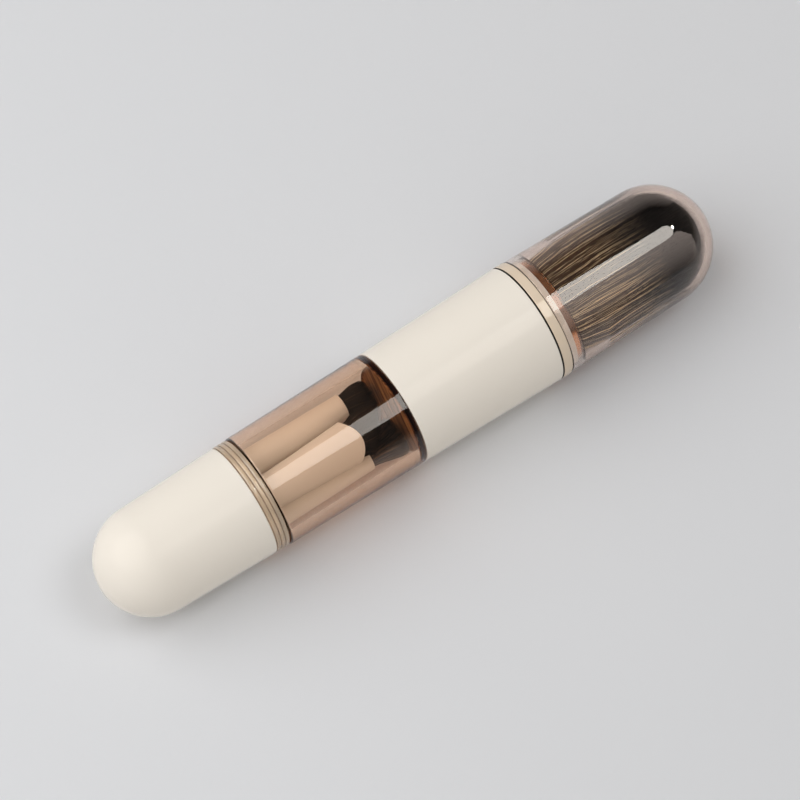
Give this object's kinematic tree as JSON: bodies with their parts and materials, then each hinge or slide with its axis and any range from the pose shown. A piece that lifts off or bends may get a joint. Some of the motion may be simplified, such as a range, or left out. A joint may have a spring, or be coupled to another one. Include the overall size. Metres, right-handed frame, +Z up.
{
  "type": "portable makeup brush",
  "caption": "Capsule-shaped travel makeup brush: a powder brush under a clear domed cap at one end, and small brushes under a clear tinted tube at the other.",
  "frame": {"origin": "middle of the underside: halfway along the capsule, on its centre line, at the level of the widest ring's bottom flat", "axes": "+X along the capsule towards the powder brush, +Z up with the capsule lying down, +Y across it"},
  "size_m": [0.1552, 0.028, 0.028],
  "materials": {
    "cream_gloss": "smooth moulded gloss, warm cream",
    "tinted_clear": "polished clear plastic, smoky champagne tint",
    "champagne_clear": "polished clear plastic, light champagne tint",
    "smoky_clear": "polished clear plastic, faint rose-beige tint",
    "copper_metal": "polished, rose-gold anodised",
    "champagne_metal": "satin, champagne anodised",
    "inner_plastic": "satin moulded, pale champagne",
    "resin": "set glue, amber",
    "bristle_fibre": "soft fibre, golden brown at the root to near black at the tip"
  },
  "bodies": {
    "barrel": {"storage_tube": "tinted_clear", "body_sleeve": "cream_gloss", "body_core": "inner_plastic", "neck_collar": "champagne_clear", "powder_ferrule": "copper_metal", "ferrule_plug": "resin", "powder_bristles": "bristle_fibre"},
    "cap": {"powder_cap": "smoky_clear"},
    "dome": {"end_dome": "cream_gloss", "ridged_collar": "champagne_clear", "brush_holder": "inner_plastic"},
    "eyeshadow_brush": {"eyeshadow_handle": "inner_plastic", "eyeshadow_ferrule": "champagne_metal", "eyeshadow_bristles": "bristle_fibre"},
    "contour_brush": {"contour_handle": "inner_plastic", "contour_ferrule": "champagne_metal", "contour_bristles": "bristle_fibre"},
    "smudge_brush": {"smudge_handle": "inner_plastic", "smudge_ferrule": "champagne_metal", "smudge_bristles": "bristle_fibre"}
  },
  "joints": [
    {"name": "cap_pull", "type": "slide", "parent": "barrel", "child": "cap", "axis": [1, 0, 0], "range_m": [0, 0.055]},
    {"name": "dome_pull", "type": "slide", "parent": "barrel", "child": "dome", "axis": [-1, 0, 0], "range_m": [0, 0.075]},
    {"name": "eyeshadow_pull", "type": "slide", "parent": "dome", "child": "eyeshadow_brush", "axis": [1, 0, 0], "range_m": [0, 0.0225]},
    {"name": "contour_pull", "type": "slide", "parent": "dome", "child": "contour_brush", "axis": [1, 0, 0], "range_m": [0, 0.0225]},
    {"name": "smudge_pull", "type": "slide", "parent": "dome", "child": "smudge_brush", "axis": [1, 0, 0], "range_m": [0, 0.0225]}
  ],
  "couplings": [
    {"joint": "eyeshadow_pull", "follows": "dome_pull", "ratio": 0.3},
    {"joint": "contour_pull", "follows": "dome_pull", "ratio": 0.3},
    {"joint": "smudge_pull", "follows": "dome_pull", "ratio": 0.3}
  ]
}
